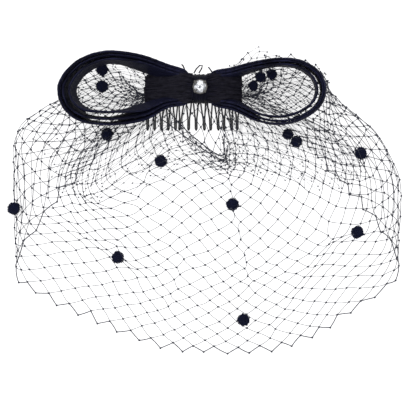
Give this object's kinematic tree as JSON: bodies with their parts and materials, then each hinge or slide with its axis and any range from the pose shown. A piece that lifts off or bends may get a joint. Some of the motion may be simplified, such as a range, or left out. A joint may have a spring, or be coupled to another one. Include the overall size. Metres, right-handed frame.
{
  "type": "bow fascinator with birdcage veil",
  "caption": "Crinoline ribbon bow on a wire hair comb, with a rhinestone at its centre and a gathered dotted net veil lying as a pouch.",
  "frame": {"origin": "on the back face of the comb's bar, under the rhinestone", "axes": "+X to the wearer's side on the right of the picture, +Y to the top of the bow, +Z out of the bow's face; the object lies on its back on z = 0"},
  "size_m": [0.2362, 0.1818, 0.0277],
  "materials": {
    "comb_wire": "black lacquered steel wire, slightly glossy",
    "netting": "stiff nylon French netting, dark navy, satin thread",
    "crinoline_pad": "crinkled crinoline with frayed ends, charcoal navy",
    "crinoline": "woven horsehair crinoline ribbon, translucent dark navy with a slate sheen",
    "wrap_cloth": "gathered navy ribbon with soft folds",
    "setting_metal": "plated claw setting, polished",
    "cut_stone": "clear cut rhinestone, foiled back",
    "chenille": "soft matt chenille, very dark navy"
  },
  "bodies": {
    "root": {"comb": "comb_wire", "veil": "netting", "veil_flap": "netting", "pad": "crinoline_pad", "loop_left_outer": "crinoline", "loop_left_middle": "crinoline", "loop_left_inner": "crinoline", "loop_right_outer": "crinoline", "loop_right_middle": "crinoline", "loop_right_inner": "crinoline", "centre_wrap": "wrap_cloth", "stone_setting": "setting_metal", "stone": "cut_stone", "dot_01": "chenille", "dot_02": "chenille", "dot_03": "chenille", "dot_04": "chenille", "dot_05": "chenille", "dot_06": "chenille", "dot_07": "chenille", "dot_08": "chenille", "dot_09": "chenille", "dot_10": "chenille", "dot_11": "chenille", "dot_12": "chenille", "dot_13": "chenille", "dot_14": "chenille", "dot_15": "chenille", "dot_16": "chenille"}
  },
  "joints": []
}
